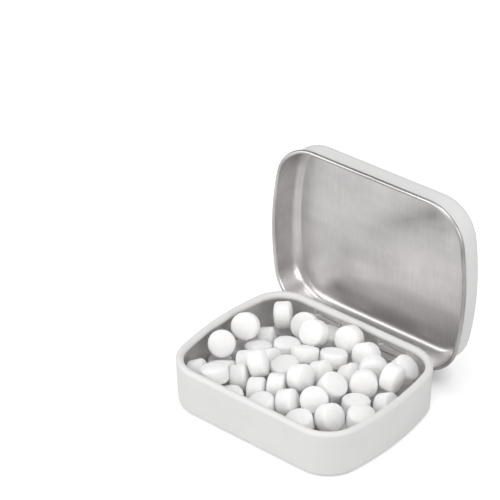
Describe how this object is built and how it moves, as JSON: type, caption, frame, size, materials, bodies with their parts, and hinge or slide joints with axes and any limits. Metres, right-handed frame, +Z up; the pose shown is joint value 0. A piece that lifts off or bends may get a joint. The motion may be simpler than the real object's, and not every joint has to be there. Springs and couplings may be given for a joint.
{
  "type": "hinged mint tin",
  "caption": "Small rectangular drawn-metal tin with rounded corners, standing open on its back hinge, white outside and bare metal inside, filled with loose pressed mints.",
  "frame": {"origin": "middle of the base's underside", "axes": "+X along the tin's length, +Y towards the hinge side, +Z up"},
  "size_m": [0.0602, 0.0553, 0.0538],
  "materials": {
    "white_coat": "smooth satin white coat on tinplate, bare bright metal inside",
    "white_coat_lid": "smooth satin white coat on tinplate, bare brushed metal inside and on the rolled bead",
    "mint": null
  },
  "bodies": {
    "base": {"base_shell": "white_coat", "mint_01": "mint", "mint_02": "mint", "mint_03": "mint", "mint_04": "mint", "mint_05": "mint", "mint_06": "mint", "mint_07": "mint", "mint_08": "mint", "mint_09": "mint", "mint_10": "mint", "mint_11": "mint", "mint_12": "mint", "mint_13": "mint", "mint_14": "mint", "mint_15": "mint", "mint_16": "mint", "mint_17": "mint", "mint_18": "mint", "mint_19": "mint", "mint_20": "mint", "mint_21": "mint", "mint_22": "mint", "mint_23": "mint", "mint_24": "mint", "mint_25": "mint", "mint_26": "mint", "mint_27": "mint", "mint_28": "mint", "mint_29": "mint", "mint_30": "mint", "mint_31": "mint", "mint_32": "mint", "mint_33": "mint", "mint_34": "mint", "mint_35": "mint", "mint_36": "mint", "mint_37": "mint", "mint_38": "mint", "mint_39": "mint", "mint_40": "mint", "mints_lower": "mint"},
    "lid": {"lid_shell": "white_coat_lid"}
  },
  "joints": [
    {"name": "lid_hinge", "type": "hinge", "parent": "base", "child": "lid", "pos_m": [0, 0.02225, 0.00765], "axis": [-1, 0, 0], "range_deg": [-92, 0]}
  ]
}
